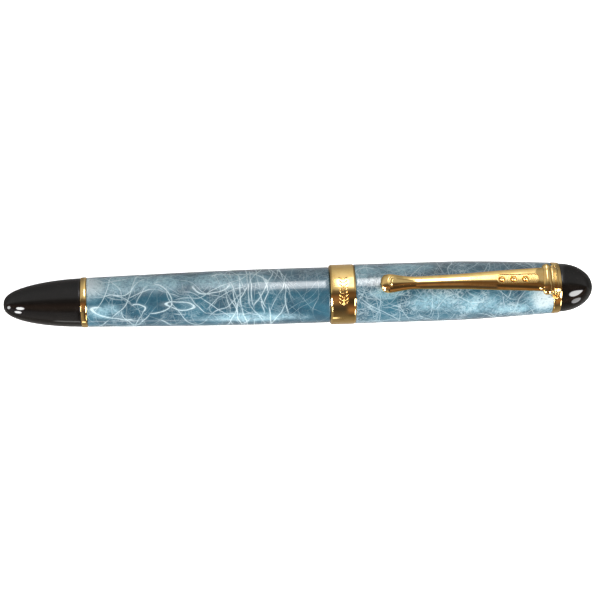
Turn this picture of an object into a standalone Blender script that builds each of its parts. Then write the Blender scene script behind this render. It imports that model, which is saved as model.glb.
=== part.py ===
"""Fountain pen with a pull-off cap, built piece by piece as it comes apart on a bench.

The pen lies along X with its cap on, the tail at -X, the cap's crown at +X and the clip on top.
Stations are distances along the pen from the tail's tip, and radii are from the pen's axis, both
in millimetres. Everything hangs from one empty on the axis, which puts the middle of the pen's
length at X = 0 and the lowest line of the cap band at Z = 0.
"""

import math

import bmesh
import bpy
from mathutils import Matrix, Vector

MM = 0.001

# Driving dimensions, in millimetres.
LENGTH = 143.0            # capped, tip to crown
BAND_RADIUS = 7.28        # the thickest ring, which the pen lies on
CAP_RADIUS = 7.2
BARREL_RADIUS = 6.75
TAIL_END = 18.7           # station where the black tail stops
BARREL_START = 20.25
CAP_LIP = 78.75           # station where the cap's mouth meets the barrel
BAND_END = 84.85
CAP_TAPER = 109.0         # station where the cap starts to narrow
CAP_TOP = 132.7           # station of the lacquered cap's upper end
CROWN_START = 134.7
NIB_TIP = 125.5
CAP_END_RADIUS = 6.2
TAIL_RADIUS = 5.9
CROWN_RADIUS = 5.9

# Clearances between neighbours.
FIT = 0.06                # radial, between pieces pushed or screwed together
SEAM = 0.05               # along the axis, between pieces that butt

# Inside the pen.
TENON_RADIUS = 5.0        # the section's threaded tenon
CONVERTER_BORE = 3.95     # through the section, clear of the converter
TUBE_RADIUS = 3.7         # the converter's ink tube
TUBE_BORE = 3.1
NIPPLE_RADIUS = 1.25
ROD_RADIUS = 1.0
NIB_BASE_RADIUS = 3.05    # inside of the nib where it wraps the feed
NIB_THICKNESS = 0.35
STUD_RADIUS = 2.6

# The clip, in heights above the pen's axis.
CLIP_PIVOT = (131.9, 7.4)
COLLAR_STATION = 130.8
COLLAR_RADIUS = 8.35      # of the collar's centre line, about the pen's axis
COLLAR_BEAD = 1.0
COLLAR_SPREAD = 26.0      # degrees each side of the top
BEAD_STATIONS = (119.7, 122.55, 125.4)

STEPS = 32                # facets round a turned piece; one of them faces straight down
FINE_STEPS = 16
BAND_STEPS = 20           # the cap band's, fewer so that its lowest facet is wide enough to rest on


def clear_scene():
    for old in list(bpy.data.objects):
        bpy.data.objects.remove(old, do_unlink=True)


def new_collection(name):
    collection = bpy.data.collections.new(name)
    bpy.context.scene.collection.children.link(collection)
    return collection


def new_material(name, colour, roughness, metallic=0.0, alpha=1.0):
    material = bpy.data.materials.new(name)
    material.use_nodes = True
    shader = material.node_tree.nodes["Principled BSDF"]
    shader.inputs["Base Color"].default_value = (*colour, 1.0)
    shader.inputs["Roughness"].default_value = roughness
    shader.inputs["Metallic"].default_value = metallic
    shader.inputs["Alpha"].default_value = alpha
    return material


def new_empty(name, parent=None, at=(0.0, 0.0, 0.0)):
    empty = bpy.data.objects.new(name, None)
    empty.empty_display_size = 0.005
    empty.location = at
    empty.parent = parent
    pen.objects.link(empty)
    return empty


def new_object(name, mesh, material, parent, collection=None):
    obj = bpy.data.objects.new(name, mesh)
    if material:
        mesh.materials.append(material)
    obj.parent = parent
    (collection or pen).objects.link(obj)
    return obj


def signed_area(outline):
    pairs = zip(outline, outline[1:] + outline[:1])
    return 0.5 * sum(a[0] * b[1] - b[0] * a[1] for a, b in pairs)


def turned(name, outline, material, parent, steps=STEPS):
    """A solid of revolution about the pen's axis, from (station, radius) points.

    The outline is a closed loop, or runs from axis to axis. Facets, not corners, lie on the
    stated radius, so that one facet rests flat underneath.
    """
    if signed_area(outline) < 0:
        outline = outline[::-1]
    on_axis = [i for i, point in enumerate(outline) if point[1] == 0]
    if on_axis:
        first = next(i for i in on_axis if outline[i - 1][1] == 0)
        outline = outline[first:] + outline[:first]
    flat = 1.0 / math.cos(math.pi / steps)
    points = [(s * MM, 0.0, r * flat * MM) for s, r in outline]
    edges = [(i, i + 1) for i in range(len(points) - 1)]
    if not on_axis:
        edges.append((len(points) - 1, 0))
    mesh = bpy.data.meshes.new(name)
    mesh.from_pydata(points, edges, [])
    obj = new_object(name, mesh, material, parent)
    obj.rotation_euler.x = math.pi / steps
    screw = obj.modifiers.new("Turn", "SCREW")
    screw.axis = "X"
    screw.steps = screw.render_steps = steps
    screw.use_merge_vertices = True
    screw.merge_threshold = 1e-6
    screw.use_smooth_shade = False
    return obj


def loft(name, rings, material, parent, collection=None):
    """A closed solid through rings of equally many points, with flat ends."""
    bm = bmesh.new()
    rows = [[bm.verts.new(Vector(point) * MM) for point in ring] for ring in rings]
    count = len(rows[0])
    for row, following in zip(rows, rows[1:]):
        for k in range(count):
            after = (k + 1) % count
            bm.faces.new((row[k], row[after], following[after], following[k]))
    bm.faces.new(rows[0][::-1])
    bm.faces.new(rows[-1])
    bmesh.ops.recalc_face_normals(bm, faces=bm.faces)
    mesh = bpy.data.meshes.new(name)
    bm.to_mesh(mesh)
    bm.free()
    return new_object(name, mesh, material, parent, collection)


def block(name, centre, size, angle=0.0):
    """A cutter: a box of that size about the pen's axis, turned round the axis by angle."""
    bm = bmesh.new()
    bmesh.ops.create_cube(bm, size=1.0)
    bmesh.ops.scale(bm, vec=Vector(size) * MM, verts=bm.verts)
    bmesh.ops.translate(bm, vec=Vector(centre) * MM, verts=bm.verts)
    bmesh.ops.rotate(bm, matrix=Matrix.Rotation(angle, 3, "X"), verts=bm.verts)
    mesh = bpy.data.meshes.new(name)
    bm.to_mesh(mesh)
    bm.free()
    return as_cutter(new_object(name, mesh, None, axis, cutters))


def drill(name, station, radius, low, high, steps=12):
    """A cutter: a vertical round hole through the nib, between two heights."""
    bm = bmesh.new()
    bmesh.ops.create_cone(bm, cap_ends=True, segments=steps, radius1=radius * MM,
                          radius2=radius * MM, depth=(high - low) * MM)
    bmesh.ops.translate(bm, vec=Vector((station, 0, (low + high) / 2)) * MM, verts=bm.verts)
    mesh = bpy.data.meshes.new(name)
    bm.to_mesh(mesh)
    bm.free()
    return as_cutter(new_object(name, mesh, None, axis, cutters))


def ball(name, centre, radius, segments=10, rings=6):
    bm = bmesh.new()
    bmesh.ops.create_uvsphere(bm, u_segments=segments, v_segments=rings, radius=radius * MM)
    bmesh.ops.translate(bm, vec=Vector(centre) * MM, verts=bm.verts)
    mesh = bpy.data.meshes.new(name)
    bm.to_mesh(mesh)
    bm.free()
    return mesh


def as_cutter(obj):
    obj.hide_render = True
    obj.display_type = "WIRE"
    return obj


def combine(obj, other, operation="DIFFERENCE"):
    boolean = obj.modifiers.new(other.name, "BOOLEAN")
    boolean.operation = operation
    boolean.solver = "EXACT"
    boolean.object = other


def arc_sections(station, radius, spread, section, count):
    """Rings for a bar bent round the pen's axis, centred on top. section(t) is the bar's own
    outline as (along the pen, away from the axis) at t from -1 to 1."""
    rings = []
    for i in range(count):
        t = 2.0 * i / (count - 1) - 1.0
        angle = math.radians(spread) * t
        ring = []
        for along, out in section(t):
            reach = radius + out
            ring.append((station + along, reach * math.sin(angle), reach * math.cos(angle)))
        rings.append(ring)
    return rings


def nose(length, base, gain, blunt, count):
    """(distance from the tip, radius) points of a bullet-shaped end, closest together at the tip."""
    points = []
    for i in range(count):
        share = 1.0 - math.cos(math.pi / 2 * i / (count - 1))
        radius = (base + gain * share) * (1.0 - (1.0 - share) ** 2) ** (1.0 / blunt)
        points.append((length * share, radius))
    return points


def barrel_radius(station):
    widest = 63.5
    slope = max(0.0, (widest - station) / (widest - BARREL_START))
    return BARREL_RADIUS - 0.8 * slope ** 1.5


def cap_radius(station):
    slope = max(0.0, (station - CAP_TAPER) / (CAP_TOP - CAP_TAPER))
    return CAP_RADIUS - (CAP_RADIUS - CAP_END_RADIUS) * slope ** 1.35


def make_barrel(body):
    """The barrel with its threaded bush, and the black tail screwed into its narrow end."""
    tenon, cavity = 4.85, 4.2
    outer = nose(TAIL_END, TAIL_RADIUS - 0.48, 0.48, 2.6, 9)
    turned("tail_cone", outer + [
        (TAIL_END, tenon), (25.0, tenon), (25.0, cavity), (13.0, cavity), (12.2, 3.4), (12.2, 0.0),
    ], black_resin, body)

    ring_start, ring_end = TAIL_END + SEAM, BARREL_START - SEAM
    turned("tail_ring", [
        (ring_start, tenon + FIT), (ring_start, 5.92), (ring_start + 0.2, 6.04),
        (ring_end - 0.2, 6.07), (ring_end, 5.98), (ring_end, tenon + FIT),
    ], gold, body)

    lip = CAP_LIP - 2 * SEAM
    stations = (BARREL_START, 30.0, 40.0, 51.0, 63.5, lip - 0.2)
    skin = [(s, barrel_radius(s)) for s in stations]
    turned("barrel_tube", skin + [
        (lip, 6.55), (lip, 5.85), (66.0, 5.85), (36.0, 5.5), (27.0, 5.25), (25.6, tenon + FIT),
        (BARREL_START, tenon + FIT),
    ], lacquer, body)

    bore, bush_end = TENON_RADIUS + FIT, 77.65
    turned("barrel_bush", [
        (67.0, bore), (67.0, 5.85 - FIT), (bush_end, 5.85 - FIT), (bush_end, bore),
    ], brass, body)


def make_loose_rings(ring_body, seal_body):
    """The trim ring and the sealing ring that stay on the tenon when the barrel comes off."""
    start, end, bore = CAP_LIP, 80.9, TENON_RADIUS + FIT
    turned("centre_ring", [
        (start, bore), (start, 5.8), (start + 0.25, 5.9), (end - 0.25, 5.9), (end, 5.8), (end, bore),
    ], gold, ring_body)
    turned("mouth_seal", [
        (77.9, bore), (77.75, 5.22), (77.75, 5.5), (77.9, 5.68), (78.45, 5.68), (78.6, 5.5),
        (78.6, 5.22), (78.45, bore),
    ], rubber, seal_body)


def make_section(body):
    """The grip with its threaded tenon, front ring and the housing that holds nib and feed."""
    start, glued, collar_end = 80.95, 4.55, 87.0
    grip = turned("grip", [
        (start, glued + FIT), (start, 5.55), (81.3, 5.74), (84.0, 5.72), (89.0, 5.42),
        (94.0, 5.12), (98.0, 5.02), (100.8, 5.2), (101.6, 5.12), (101.6, 4.3), (102.9, 4.3),
        (102.9, CONVERTER_BORE), (collar_end + SEAM, CONVERTER_BORE),
        (collar_end + SEAM, glued + FIT),
    ], black_resin, body)
    flat_height = 4.82
    for i, angle in enumerate((60.0, 180.0, 300.0)):
        cutter = block(f"grip_flat_{i}", (92.8, 0.0, flat_height + 3.0), (14.0, 12.0, 6.0),
                       math.radians(angle))
        combine(grip, cutter)

    turned("section_collar", [
        (70.5, CONVERTER_BORE), (70.5, 4.8), (70.9, TENON_RADIUS), (start - SEAM, TENON_RADIUS),
        (start - SEAM, glued), (collar_end, glued), (collar_end, CONVERTER_BORE),
    ], brass, body)

    turned("grip_ring", [
        (101.65, 4.36), (101.65, 5.12), (101.9, 5.28), (102.6, 5.22), (103.0, 4.95), (103.0, 4.36),
    ], gold, body)

    outer, inner, wall = CONVERTER_BORE - FIT, 3.5, 89.0
    turned("nib_housing", [
        (83.2, 0.6), (83.2, 1.0), (84.0, NIPPLE_RADIUS), (wall, NIPPLE_RADIUS), (wall, outer),
        (102.95, outer), (102.95, inner), (wall + 1.2, inner), (wall + 1.2, 0.6),
    ], black_resin, body)


# (station, half width, radius of curvature, height of the top) along the nib, from the heel.
# The heel wraps the feed, the wings open at the shoulders, and the tines close to the tip.
NIB_STATIONS = (
    (91.0, None, 3.225, 3.225),
    (103.4, None, 3.225, 3.225),
    (104.6, 3.3, 3.32, 3.225),
    (106.2, 3.95, 4.1, 3.22),
    (108.2, 4.15, 4.45, 3.18),
    (110.5, 3.8, 4.4, 3.1),
    (113.5, 2.95, 4.2, 2.95),
    (117.0, 2.05, 3.8, 2.72),
    (120.5, 1.32, 3.2, 2.45),
    (123.5, 0.78, 2.4, 2.18),
    (NIB_TIP, 0.5, 1.6, 2.0),
)
NIB_WRAP = 100.0          # degrees each side of the top at the heel
NIB_ACROSS = 12           # facets across the nib


def nib_section(half_width, curve, top):
    """(across, height) points of the nib's middle surface at one station."""
    reach = math.radians(NIB_WRAP) if half_width is None else math.asin(half_width / curve)
    points = []
    for k in range(NIB_ACROSS + 1):
        angle = reach * (2.0 * k / NIB_ACROSS - 1.0)
        points.append((curve * math.sin(angle), top - curve + curve * math.cos(angle)))
    return points


def make_nib(body):
    """The nib is a bent sheet with a slit and a breather hole, tipped with a hard pellet."""
    bm = bmesh.new()
    rows = []
    for station, half_width, curve, top in NIB_STATIONS:
        section = nib_section(half_width, curve, top)
        rows.append([bm.verts.new(Vector((station, y, z)) * MM) for y, z in section])
    for row, following in zip(rows, rows[1:]):
        for k in range(NIB_ACROSS):
            bm.faces.new((row[k], following[k], following[k + 1], row[k + 1]))
    bmesh.ops.recalc_face_normals(bm, faces=bm.faces)
    mesh = bpy.data.meshes.new("nib")
    bm.to_mesh(mesh)
    bm.free()
    nib = new_object("nib", mesh, steel_gold, body)
    sheet = nib.modifiers.new("Sheet", "SOLIDIFY")
    sheet.thickness = NIB_THICKNESS * MM
    sheet.offset = 0.0
    sheet.use_even_offset = True
    slit_start, slit_end = 111.6, 128.0
    slit_middle = (slit_start + slit_end) / 2
    combine(nib, block("nib_slit", (slit_middle, 0.0, 2.5), (slit_end - slit_start, 0.14, 4.0)))
    combine(nib, drill("nib_hole", 111.6, 0.8, 1.5, 4.5))

    pellet = ball("nib_pellet", (NIB_TIP + 0.52, 0.0, 1.86), 0.42)
    new_object("nib_pellet", pellet, steel_gold, body)


def feed_section(radius, top, count=16):
    centre = top - radius
    flat = 1.0 / math.cos(math.pi / count)
    ring = []
    for k in range(count):
        angle = 2.0 * math.pi * (k + 0.5) / count
        ring.append((radius * flat * math.sin(angle), centre + radius * flat * math.cos(angle)))
    return ring


def make_feed(body):
    """The feed is a finned rod under the nib that narrows and rises to its point."""
    under = NIB_THICKNESS / 2 + FIT
    shape = (
        (90.3, 2.96, 2.96), (104.2, 2.96, 2.96), (107.0, 2.85, 3.2 - under), (110.5, 2.55, 3.1 - under),
        (113.5, 2.1, 2.95 - under), (117.0, 1.45, 2.7 - under), (120.0, 0.8, 2.4 - under),
        (121.2, 0.45, 2.2 - under),
    )
    rings = [[(s, y, z) for y, z in feed_section(radius, top)] for s, radius, top in shape]
    feed = loft("feed", rings, black_resin, body)
    for i in range(6):
        combine(feed, block(f"feed_slot_{i}", (105.4 + 1.1 * i, 0.0, -3.3), (0.5, 8.0, 4.0)))


def make_converter(body, knob_body, piston_body):
    """The piston converter: tube and collar stay, knob and nut turn, rod and piston slide."""
    rear, mouth, neck = 49.0, 88.8, 3.0
    turned("converter_tube", [
        (rear, TUBE_BORE), (rear, TUBE_RADIUS), (83.6, TUBE_RADIUS), (84.4, neck), (mouth, neck),
        (mouth, NIPPLE_RADIUS + FIT), (82.9, NIPPLE_RADIUS + FIT), (82.4, TUBE_BORE),
    ], clear_plastic, body)

    turned("converter_collar", [
        (37.2, 2.1), (37.2, 3.75), (37.4, 3.92), (53.0, 3.92), (53.0, TUBE_RADIUS + FIT),
        (48.9, TUBE_RADIUS + FIT), (48.9, 3.0), (45.3, 3.0), (45.3, 2.1),
    ], gold, body)

    bore = ROD_RADIUS + 0.1
    turned("converter_knob", [
        (22.0, 0.0), (22.0, 3.1), (22.5, 3.55), (36.6, 3.55), (37.1, 3.3), (37.1, 2.0),
        (45.55, 2.0), (45.55, bore), (23.2, bore), (23.2, 0.0),
    ], black_resin, knob_body)
    turned("drive_nut", [
        (45.6, bore), (45.6, 2.9), (48.2, 2.9), (48.2, bore),
    ], brass, knob_body, FINE_STEPS)

    turned("plunger_rod", [
        (45.0, 0.0), (45.0, ROD_RADIUS), (80.0, ROD_RADIUS), (80.0, 0.0),
    ], black_resin, piston_body, FINE_STEPS)
    turned("piston_head", [
        (77.2, bore), (77.2, 2.6), (78.3, 2.6), (78.3, 1.8), (82.2, 1.8), (82.2, 0.0),
        (80.2, 0.0), (80.2, bore),
    ], black_resin, piston_body, FINE_STEPS)
    turned("piston_seal", [
        (78.4, 1.9), (78.4, 2.94), (78.9, 3.04), (79.4, 2.84), (81.0, 2.84), (81.5, 3.04),
        (82.1, 2.9), (82.1, 1.9),
    ], rubber, piston_body)


def make_cap(body):
    """The cap: lacquered tube, band round its mouth, clutch sleeve, liner, clip ring and crown."""
    turned("cap_band", [
        (CAP_LIP, 6.05), (CAP_LIP, 7.1), (CAP_LIP + 0.2, BAND_RADIUS), (BAND_END - 0.2, BAND_RADIUS),
        (BAND_END, 7.18), (BAND_END, 6.76), (79.6, 6.76), (79.6, 6.05),
    ], gold, body, BAND_STEPS)

    shoulder, bore = BAND_END + SEAM, 6.31
    stations = (shoulder, CAP_TAPER, 115.0, 121.0, 127.0, CAP_TOP)
    skin = [(s, cap_radius(s)) for s in stations]
    turned("cap_tube", [(79.65, bore), (79.65, 6.7), (shoulder, 6.7)] + skin + [
        (CAP_TOP, 3.45), (131.7, 3.45), (131.7, 5.36), (127.0, 5.6), (121.0, 5.95), (112.0, bore),
    ], lacquer, body)

    clutch = turned("cap_clutch", [
        (79.7, 5.98), (79.7, 6.25), (87.5, 6.25), (87.5, 5.98),
    ], brass, body)
    for i in range(2):
        combine(clutch, block(f"clutch_slot_{i}", (85.0, 0.0, 0.0), (7.0, 1.0, 16.0),
                              math.radians(45.0 + 90.0 * i)))

    stud_bore = STUD_RADIUS + FIT
    turned("inner_cap", [
        (129.4, 0.0), (129.4, 4.2), (128.9, 4.6), (112.0, 5.3), (101.0, 5.45), (88.0, 5.75),
        (88.0, 6.24), (112.0, 6.24), (121.0, 5.88), (127.0, 5.53), (131.6, 5.29),
        (131.6, stud_bore), (130.3, stud_bore), (130.3, 0.0),
    ], black_resin, body)

    turned("finial_stud", [
        (130.35, 0.0), (130.35, 2.3), (130.65, STUD_RADIUS), (138.6, STUD_RADIUS), (138.6, 0.0),
    ], brass, body, FINE_STEPS)

    crown = [(LENGTH - s, r) for s, r in nose(LENGTH - CROWN_START, CROWN_RADIUS, 0.0, 2.0, 8)]
    turned("crown", crown + [
        (CROWN_START, 2 * FIT + STUD_RADIUS), (138.7, 2 * FIT + STUD_RADIUS), (138.7, 0.0),
    ], black_resin, body)
    make_clip_ring(body)


def make_clip_ring(body):
    """The ring nipped under the crown, with the arched lug that the clip's collar stands against."""
    start, end, bore = CAP_TOP + SEAM, CROWN_START - SEAM, STUD_RADIUS + 2 * FIT
    ring = turned("clip_ring", [
        (start, bore), (start, 6.1), (start + 0.2, 6.24), (end - 0.2, 6.1), (end, 5.98), (end, bore),
    ], gold, body)

    def section(t):
        """A rounded bar, lower towards its ends, that overhangs the cap's end."""
        top = 1.75 * (1.0 - 0.45 * abs(t) ** 3)
        return [(-1.05, 0.25), (-1.05, top - 0.5), (-0.55, top), (0.55, top - 0.15),
                (1.0, top - 0.65), (1.0, -1.6), (-0.25, -1.6), (-0.25, 0.25)]

    rings = arc_sections(133.1, 6.2, 34.0, section, 9)
    lug = as_cutter(loft("clip_lug", rings, None, axis, cutters))
    combine(ring, lug, "UNION")


# (station, half width, underside, top) along the clip's arm, from its ball end to its collar.
CLIP_STATIONS = (
    (90.9, 0.5, 8.35, 8.8),
    (91.3, 1.3, 7.85, 9.4),
    (92.1, 2.0, 7.42, 9.95),
    (93.4, 2.35, 7.34, 10.2),
    (95.5, 2.22, 7.5, 10.02),
    (97.6, 1.88, 7.95, 9.65),
    (99.4, 1.7, 8.15, 9.42),
    (103.0, 1.76, 8.2, 9.52),
    (110.0, 1.9, 8.2, 9.68),
    (118.0, 2.22, 8.2, 9.76),
    (124.5, 2.6, 8.12, 9.66),
    (128.9, 2.9, 7.95, 9.35),
    (130.9, 2.95, 7.8, 9.1),
)


def make_clip(body):
    """The sprung clip: a bulb that presses on the cap, a tapered arm with three beads, a collar."""
    pivot = Vector((CLIP_PIVOT[0], 0.0, CLIP_PIVOT[1]))
    rings = []
    for station, half_width, low, high in CLIP_STATIONS:
        edge = 0.3 * (high - low)
        ring = [(half_width, low)]
        for k in range(7):
            angle = math.pi * k / 6
            ring.append((half_width * math.cos(angle),
                         low + edge + (high - low - edge) * math.sin(angle)))
        ring.append((-half_width, low))
        rings.append([Vector((station, y, z)) - pivot for y, z in ring])
    arm = loft("clip", rings, gold, body)

    def bead_section(t):
        """A round bar whose ends close like a ball."""
        size = COLLAR_BEAD * math.sqrt(max(0.08, 1.0 - abs(t) ** 5))
        steps = 10
        return [(size * math.cos(2 * math.pi * k / steps), size * math.sin(2 * math.pi * k / steps))
                for k in range(steps)]

    rings = arc_sections(COLLAR_STATION, COLLAR_RADIUS, COLLAR_SPREAD, bead_section, 9)
    combine(arm, as_cutter(loft("clip_collar", rings, None, axis, cutters)), "UNION")
    for i, station in enumerate(BEAD_STATIONS):
        bead = ball(f"clip_bead_{i}", (station, 0.0, 9.62), 0.62)
        combine(arm, as_cutter(new_object(f"clip_bead_{i}", bead, None, axis, cutters)), "UNION")


clear_scene()
pen = new_collection("fountain_pen")
cutters = new_collection("cutters")

lacquer = new_material("blue_lacquer", (0.13, 0.33, 0.45), 0.12)
black_resin = new_material("black_resin", (0.012, 0.011, 0.012), 0.12)
gold = new_material("polished_gold", (0.83, 0.60, 0.26), 0.12, 1.0)
brass = new_material("turned_brass", (0.72, 0.52, 0.24), 0.3, 1.0)
steel_gold = new_material("nib_plating", (0.83, 0.62, 0.3), 0.15, 1.0)
clear_plastic = new_material("clear_plastic", (0.85, 0.87, 0.88), 0.08, 0.0, 0.35)
rubber = new_material("seal_rubber", (0.02, 0.02, 0.02), 0.6)

axis = new_empty("pen_axis", at=(-LENGTH / 2 * MM, 0.0, BAND_RADIUS * MM))
section_body = new_empty("section_body", axis)
loose_ring = new_empty("loose_ring_body", section_body)
seal = new_empty("seal_body", loose_ring)
barrel = new_empty("barrel_body", seal)
converter = new_empty("converter_body", section_body)
knob = new_empty("knob_body", converter)
piston = new_empty("piston_body", converter)
cap = new_empty("cap_body", section_body)
clip_pivot = new_empty("clip_pivot", cap, (CLIP_PIVOT[0] * MM, 0.0, CLIP_PIVOT[1] * MM))

make_barrel(barrel)
make_loose_rings(loose_ring, seal)
make_section(section_body)
make_nib(section_body)
make_feed(section_body)
make_converter(converter, knob, piston)
make_cap(cap)
make_clip(clip_pivot)
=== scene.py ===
"""How the fountain pen looks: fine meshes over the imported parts, finishes, light and camera.

Shapes are described in millimetres as (station along the pen from the tail's tip, distance from
the pen's axis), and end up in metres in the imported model's frame.
"""

from math import acos, copysign, cos, exp, pi, radians, sin, sqrt

import bmesh
import bpy
from mathutils import Matrix, Vector


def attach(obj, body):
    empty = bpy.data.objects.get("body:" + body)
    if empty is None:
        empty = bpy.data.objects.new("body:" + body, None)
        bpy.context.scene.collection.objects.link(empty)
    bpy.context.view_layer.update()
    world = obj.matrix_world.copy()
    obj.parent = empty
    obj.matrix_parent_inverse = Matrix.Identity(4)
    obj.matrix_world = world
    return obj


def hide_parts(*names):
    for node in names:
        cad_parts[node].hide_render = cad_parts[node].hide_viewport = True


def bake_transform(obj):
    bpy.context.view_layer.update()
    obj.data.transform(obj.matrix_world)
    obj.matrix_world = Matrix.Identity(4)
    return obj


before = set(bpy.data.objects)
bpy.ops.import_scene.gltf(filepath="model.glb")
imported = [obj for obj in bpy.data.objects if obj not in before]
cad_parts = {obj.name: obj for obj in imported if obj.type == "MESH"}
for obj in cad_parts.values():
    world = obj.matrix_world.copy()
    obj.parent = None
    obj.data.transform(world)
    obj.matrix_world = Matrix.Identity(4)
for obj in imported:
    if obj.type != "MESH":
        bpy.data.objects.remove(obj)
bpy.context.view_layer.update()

MM = 0.001
LENGTH = 143.0
AXIS_HEIGHT = 7.28
TAIL_END, BARREL_START, BARREL_LIP = 18.7, 20.25, 78.65
CAP_LIP, BAND_END, CAP_TAPER, CAP_TOP = 78.75, 84.85, 109.0, 132.7
CROWN_START = 134.7
FLAT_DISTANCE = 4.82      # from the axis to each finger flat
COLLAR = 130.8            # station of the clip's collar
BEADS = (119.7, 122.55, 125.4)
PANEL = (118.5, 128.7, 1.15)    # the sunk flat under the beads: both ends and half its width


# Meshes

def place(station, across, height):
    """A point from its station, its distance across and its height above the pen's axis."""
    return Vector(((station - LENGTH / 2) * MM, across * MM, (AXIS_HEIGHT + height) * MM))


def around(station, radius, angle):
    """A point at an angle round the axis. Zero is on top, and it grows towards +Y."""
    return place(station, radius * sin(angle), radius * cos(angle))


def full_turn(count):
    """Equally spaced angles round a full turn."""
    return [2 * pi * k / count for k in range(count)]


def smooth(value, low, high):
    t = min(1.0, max(0.0, (value - low) / (high - low)))
    return t * t * (3.0 - 2.0 * t)


def along(table, station):
    """The row of a table at a station, read between the rows either side."""
    if station <= table[0][0]:
        return table[0][1:]
    for row, after in zip(table, table[1:]):
        if station <= after[0]:
            t = (station - row[0]) / (after[0] - row[0])
            return [a + (b - a) * t for a, b in zip(row[1:], after[1:])]
    return table[-1][1:]


def eased(table, station, reach):
    """The same, averaged over a reach either side, so that the rows' corners are rounded."""
    span = range(-4, 5)
    samples = [along(table, station + reach * k / 4.0) for k in span]
    weights = [5 - abs(k) for k in span]
    total = sum(weights)
    return [sum(w * value for w, value in zip(weights, column)) / total for column in zip(*samples)]


def rounded(outline):
    """Replaces each (station, radius, fillet) corner with a small arc."""
    points = []
    count = len(outline)
    for i, corner in enumerate(outline):
        if len(corner) < 3:
            points.append(tuple(corner))
            continue
        here = Vector(corner[:2])
        before, after = Vector(outline[i - 1][:2]), Vector(outline[(i + 1) % count][:2])
        start = here + (before - here).normalized() * corner[2]
        end = here + (after - here).normalized() * corner[2]
        for k in range(5):
            t = k / 4.0
            points.append(tuple(start * (1 - t) ** 2 + here * 2 * t * (1 - t) + end * t * t))
    return points


def linked(name, bm, material=None):
    """Makes an object of a mesh and puts it in the scene."""
    mesh = bpy.data.meshes.new(name)
    bm.to_mesh(mesh)
    bm.free()
    if material:
        mesh.materials.append(material)
    obj = bpy.data.objects.new(name, mesh)
    bpy.context.scene.collection.objects.link(obj)
    return obj


def smoothed(obj, sharp):
    """Smooth shading, with hard edges where faces meet at more than that many degrees."""
    obj.data.shade_smooth()
    obj.data.set_sharp_from_angle(angle=radians(sharp))


def finished(name, bm, material, body, sharp=35.0, replaces=()):
    """A visible piece."""
    bmesh.ops.recalc_face_normals(bm, faces=bm.faces)
    obj = linked(name, bm, material)
    smoothed(obj, sharp)
    if body:
        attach(obj, body)
    if replaces:
        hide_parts(*replaces)
    return obj


def bridge(bm, row, after):
    """Faces between two rings of vertices, either of which may be a single point."""
    count = max(len(row), len(after))
    if count == 1:
        return
    for k in range(count):
        nxt = (k + 1) % count
        if len(row) == 1:
            bm.faces.new((row[0], after[nxt], after[k]))
        elif len(after) == 1:
            bm.faces.new((row[k], row[nxt], after[0]))
        else:
            bm.faces.new((row[k], row[nxt], after[nxt], after[k]))


def turned(name, outline, material, body, replaces=(), segments=128, shape=None, sharp=35.0):
    """A turned piece. shape(station, radius, angle) may change the radius as it goes round."""
    points = rounded(outline)
    bm = bmesh.new()
    rows = []
    for station, radius in points:
        if radius < 1e-4:
            rows.append([bm.verts.new(place(station, 0.0, 0.0))])
            continue
        row = []
        for angle in full_turn(segments):
            reach = shape(station, radius, angle) if shape else radius
            row.append(bm.verts.new(around(station, reach, angle)))
        rows.append(row)
    for row, after in zip(rows, rows[1:]):
        bridge(bm, row, after)
    if len(rows[0]) > 1 and len(rows[-1]) > 1:
        bridge(bm, rows[-1], rows[0])
    return finished(name, bm, material, body, sharp, replaces)


def loft(bm, rings):
    """A closed skin through rings of equally many points, with flat ends, added to bm."""
    rows = [[bm.verts.new(point) for point in ring] for ring in rings]
    for row, after in zip(rows, rows[1:]):
        bridge(bm, row, after)
    bm.faces.new(rows[0][::-1])
    bm.faces.new(rows[-1])


def tube(bm, path, size, sides=10):
    """A round bar along a path of points. size(t) is its radius in millimetres, t from 0 to 1."""
    rings = []
    side = None
    for i, point in enumerate(path):
        ahead = path[min(i + 1, len(path) - 1)] - path[max(i - 1, 0)]
        ahead.normalize()
        if side is None:
            side = ahead.orthogonal().normalized()
        side = (side - ahead * side.dot(ahead)).normalized()
        other = ahead.cross(side)
        radius = size(i / (len(path) - 1)) * MM
        rings.append([point + (side * cos(a) + other * sin(a)) * radius
                      for a in full_turn(sides)])
    loft(bm, rings)


def swept_arc(bm, station, radius, spread, section, count):
    """A bar bent round the pen's axis, centred on top, added to bm."""
    rings = []
    for i in range(count):
        t = 2.0 * i / (count - 1) - 1.0
        angle = radians(spread) * t
        rings.append([around(station + a, radius + out, angle) for a, out in section(t)])
    loft(bm, rings)


def ball(bm, station, across, height, radius, segments=28):
    made = bmesh.ops.create_uvsphere(bm, u_segments=segments, v_segments=segments // 2,
                                     radius=radius * MM)
    bmesh.ops.translate(bm, vec=place(station, across, height), verts=made["verts"])


def carve(obj, cutter):
    """Cuts a mesh with another, and keeps the result."""
    boolean = obj.modifiers.new("Carve", "BOOLEAN")
    boolean.operation = "DIFFERENCE"
    boolean.solver = "EXACT"
    boolean.object = cutter
    graph = bpy.context.evaluated_depsgraph_get()
    mesh = bpy.data.meshes.new_from_object(obj.evaluated_get(graph))
    obj.modifiers.remove(boolean)
    obj.data = mesh
    bpy.data.objects.remove(cutter, do_unlink=True)


def as_cutter(bm):
    """Makes an object of a closed mesh, for carve."""
    bmesh.ops.recalc_face_normals(bm, faces=bm.faces)
    return linked("cutter", bm)


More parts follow.
